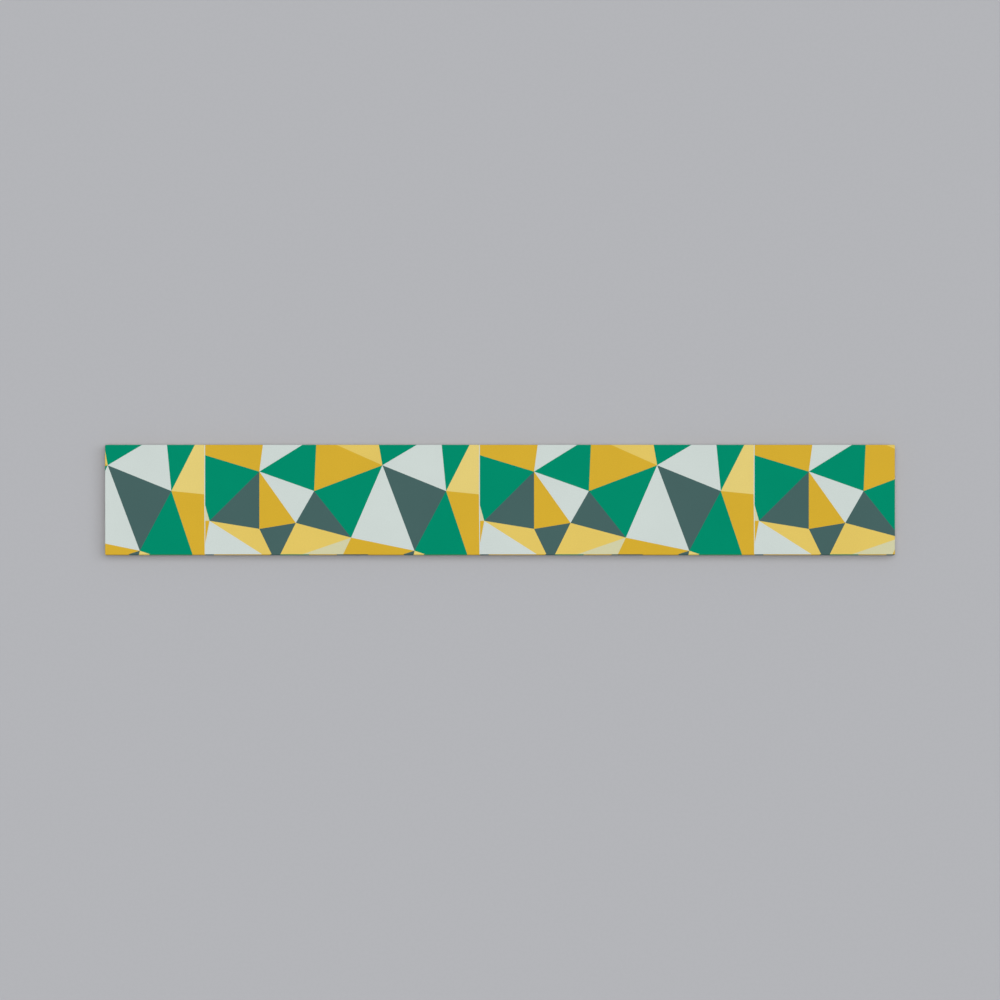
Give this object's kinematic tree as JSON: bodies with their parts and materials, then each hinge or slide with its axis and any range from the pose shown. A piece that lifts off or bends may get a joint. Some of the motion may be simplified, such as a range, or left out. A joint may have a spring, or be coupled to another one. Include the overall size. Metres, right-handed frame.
{
  "type": "decorative wall tile",
  "caption": "Long, thin glazed ceramic border tile with a printed straight-sided facet pattern, softened face edges and a grooved back.",
  "frame": {"origin": "centre of the tile's back, on the plane that its rim and ribs stand on", "axes": "+X along the tile's length, +Y across its width towards the edge that is upper on the wall, +Z out of the glazed face"},
  "size_m": [0.5, 0.07, 0.009],
  "materials": {
    "glazed_body": "gloss"
  },
  "bodies": {
    "root": {"border_tile": "glazed_body"}
  },
  "joints": []
}
